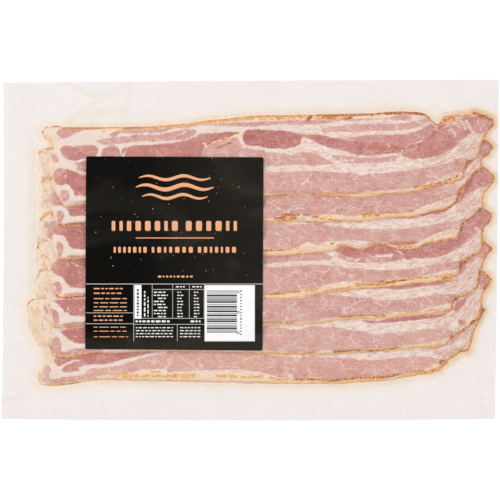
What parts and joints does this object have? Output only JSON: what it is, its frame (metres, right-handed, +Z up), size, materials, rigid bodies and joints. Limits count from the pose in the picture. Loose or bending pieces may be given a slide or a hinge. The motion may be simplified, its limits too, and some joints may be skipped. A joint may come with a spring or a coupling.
{
  "type": "bacon pack",
  "caption": "Flat clear vacuum pouch of shingled streaky bacon rashers, with a square dark label on its front and a wide welded margin all round.",
  "frame": {"origin": "on the flat underside, under the middle of the pack", "axes": "+X along the rashers, to the right as the label reads; +Y towards the label's top; +Z up out of the front"},
  "size_m": [0.2984, 0.2046, 0.0079],
  "materials": {
    "rasher": "moist pink meat with cream fat and an orange-brown rind, seen through clear film",
    "film": "clear glossy vacuum film, slightly milky where it is welded",
    "label": "smooth black paper label with a satin coat",
    "print": "satin copper, white and grey ink"
  },
  "bodies": {
    "root": {"pouch": "rasher", "label": "label"}
  },
  "joints": []
}
